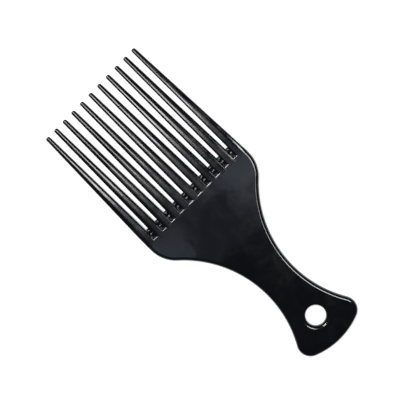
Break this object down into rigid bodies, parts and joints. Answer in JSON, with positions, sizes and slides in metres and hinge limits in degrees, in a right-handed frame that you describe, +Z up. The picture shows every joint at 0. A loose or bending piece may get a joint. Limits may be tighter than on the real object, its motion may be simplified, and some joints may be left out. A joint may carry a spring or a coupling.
{
  "type": "afro pick",
  "caption": "Black plastic afro pick with long tapering teeth, stepped root webs, a waisted handle and a round hang hole in the flared end.",
  "frame": {"origin": "centre of the bounding box's bottom face, under the middle of the pick as it lies flat", "axes": "+Y along the pick towards the tooth tips, +X across the tooth row, +Z up through the thickness"},
  "size_m": [0.0672, 0.17, 0.005],
  "materials": {
    "black_plastic": "gloss"
  },
  "bodies": {
    "root": {"handle": "black_plastic", "tooth_01": "black_plastic", "tooth_02": "black_plastic", "tooth_03": "black_plastic", "tooth_04": "black_plastic", "tooth_05": "black_plastic", "tooth_06": "black_plastic", "tooth_07": "black_plastic", "tooth_08": "black_plastic", "tooth_09": "black_plastic", "tooth_10": "black_plastic", "tooth_11": "black_plastic", "root_web_01": "black_plastic", "root_web_02": "black_plastic", "root_web_03": "black_plastic", "root_web_04": "black_plastic", "root_web_05": "black_plastic", "root_web_06": "black_plastic", "root_web_07": "black_plastic", "root_web_08": "black_plastic", "root_web_09": "black_plastic", "root_web_10": "black_plastic"}
  },
  "joints": []
}
